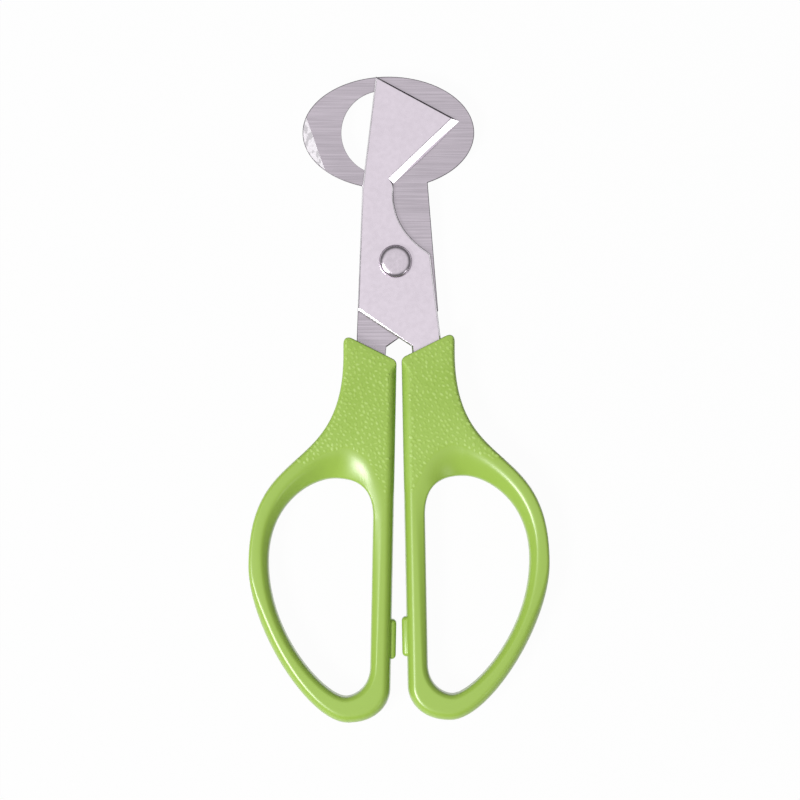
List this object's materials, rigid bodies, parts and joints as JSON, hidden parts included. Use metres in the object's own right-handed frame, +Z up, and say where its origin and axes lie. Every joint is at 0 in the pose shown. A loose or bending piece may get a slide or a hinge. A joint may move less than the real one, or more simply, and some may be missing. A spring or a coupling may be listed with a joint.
{
  "type": "quail egg scissors",
  "caption": "Quail egg scissors: a pointed cutter blade turns on a domed rivet across an oval ring blade with a round egg hole, with moulded bow handles.",
  "frame": {"origin": "middle of the footprint, on the surface the scissors lie on", "axes": "+Y towards the blades' ends, +X towards the right handle, +Z up, out of the cutter blade's face"},
  "size_m": [0.0676, 0.1451, 0.008],
  "materials": {
    "ring_steel": "brushed",
    "cutter_steel": "satin",
    "rivet_steel": "polished",
    "handle_plastic": "gloss, with a pebbled grip"
  },
  "bodies": {
    "ring_half": {"ring_blade": "ring_steel", "left_handle": "handle_plastic", "pivot_rivet": "rivet_steel", "rivet_washer": "rivet_steel"},
    "cutter_half": {"cutter_blade": "cutter_steel", "right_handle": "handle_plastic"}
  },
  "joints": [
    {"name": "cutter_pivot", "type": "hinge", "parent": "ring_half", "child": "cutter_half", "pos_m": [-0.00078, 0.03083, 0.00462], "axis": [0, 0, 1], "range_deg": [-0.8, 49]}
  ]
}
